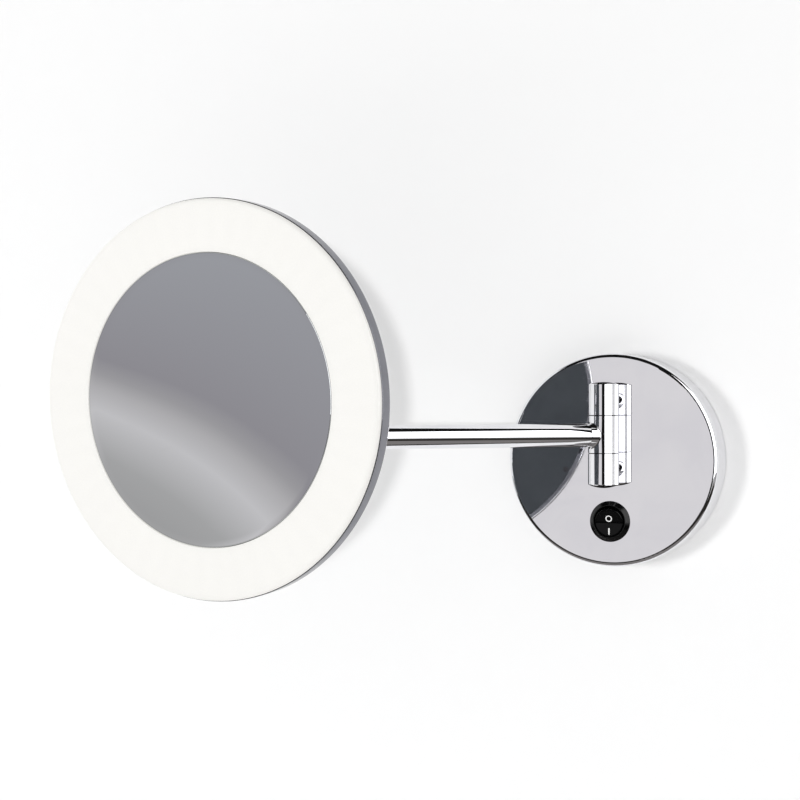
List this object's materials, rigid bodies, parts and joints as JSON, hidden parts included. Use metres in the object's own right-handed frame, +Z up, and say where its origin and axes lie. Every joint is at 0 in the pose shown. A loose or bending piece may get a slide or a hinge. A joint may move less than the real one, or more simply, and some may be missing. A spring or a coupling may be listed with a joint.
{
  "type": "extendable shaving mirror",
  "caption": "Wall-mounted lit shaving mirror: round mirror head with an opal light ring on a swing-out chrome arm, hinged to a round backplate with a rocker switch.",
  "frame": {"origin": "centre of the round backplate on the wall plane, midway between the two wall screws", "axes": "+X along the wall to the right as seen from the room, +Y into the wall, +Z up"},
  "size_m": [0.3181, 0.2292, 0.2001],
  "materials": {
    "chrome_plate": "polished chrome plating",
    "chrome_hinge": "polished chrome plating",
    "chrome_tube": "polished chrome plating",
    "chrome_joint": "polished chrome plating",
    "chrome_rim": "polished chrome plating",
    "screw_steel": "zinc plated",
    "dark_steel": "black oxide",
    "zinc_plate": "zinc plated sheet",
    "brass": "machined",
    "bearing_bronze": "sintered bronze",
    "washer_plastic": "moulded",
    "rubber_grey": "matt",
    "foam": "closed-cell foam tape",
    "driver_plastic": "moulded",
    "terminal_plastic": "moulded",
    "circuit_board": "solder mask",
    "components": "moulded",
    "lead_jacket": "smooth jacket",
    "switch_black": "gloss moulded",
    "mark_white": "printed",
    "rear_anthracite": "satin powder coat",
    "board_white": "white solder mask",
    "led_phosphor": "silicone",
    "opal": "opal acrylic, lit",
    "mirror": "polished silvered glass"
  },
  "bodies": {
    "wall_unit": {"wall_bracket": "zinc_plate", "wall_seal": "rubber_grey", "cable_grommet": "rubber_grey", "backplate_cover": "chrome_plate", "cover_screws": "screw_steel", "stiffener_strip": "zinc_plate", "driver_case": "driver_plastic", "driver_lid": "driver_plastic", "driver_board": "circuit_board", "driver_components": "components", "terminal_block": "terminal_plastic", "terminal_screws": "brass", "earth_stud": "screw_steel", "earth_nut": "screw_steel", "upper_knuckle": "chrome_hinge", "lower_knuckle": "chrome_hinge", "hinge_cap_top": "chrome_hinge", "hinge_cap_bottom": "chrome_hinge", "hinge_pin": "brass", "knuckle_grub_screws": "dark_steel", "knuckle_screw": "screw_steel", "cable_nipple": "brass", "nipple_nut": "screw_steel", "hinge_fixing_washers": "screw_steel", "wall_lead": "lead_jacket", "switch_housing": "switch_black", "switch_tabs": "brass", "seam_washers": "washer_plastic"},
    "rocker": {"switch_rocker": "switch_black", "rocker_marks": "mark_white"},
    "arm": {"middle_knuckle": "chrome_hinge", "hinge_bushes": "bearing_bronze", "arm_tube": "chrome_tube", "end_knuckle": "chrome_joint", "swivel_bush": "bearing_bronze", "end_knuckle_cap": "chrome_joint", "arm_lead": "lead_jacket"},
    "swivel": {"swivel_washer": "washer_plastic", "swivel_yoke": "chrome_joint", "swivel_pin": "brass", "swivel_disc_spring": "screw_steel", "swivel_nut": "screw_steel", "tilt_bolt": "screw_steel", "tilt_cap_nut": "chrome_joint", "tilt_washers": "washer_plastic"},
    "head": {"tilt_lug": "chrome_joint", "lug_screws": "screw_steel", "rear_cover": "rear_anthracite", "rear_cover_screws": "dark_steel", "head_backing_plate": "zinc_plate", "chrome_rim": "chrome_rim", "led_board": "board_white", "leds": "led_phosphor", "light_baffle": "board_white", "light_ring": "opal", "ring_seal": "rubber_grey", "mirror_glass": "mirror", "mirror_pad": "foam", "board_connector": "terminal_plastic", "head_lead": "lead_jacket"}
  },
  "joints": [
    {"name": "arm_swing", "type": "hinge", "parent": "wall_unit", "child": "arm", "pos_m": [-0.0007, -0.0405, 0.0142], "axis": [0, 0, 1], "range_deg": [-42, 136]},
    {"name": "head_pan", "type": "hinge", "parent": "arm", "child": "swivel", "pos_m": [-0.15497, -0.18386, 0.0142], "axis": [0, 0, 1], "range_deg": [-127, 51]},
    {"name": "head_tilt", "type": "hinge", "parent": "swivel", "child": "head", "pos_m": [-0.15497, -0.18386, 0.0346], "axis": [0.9876, -0.1573, 0], "range_deg": [-27, 18]},
    {"name": "switch_rock", "type": "hinge", "parent": "wall_unit", "child": "rocker", "pos_m": [-0.0008, -0.024, -0.0345], "axis": [1, 0, 0], "range_deg": [-16, 0]}
  ]
}
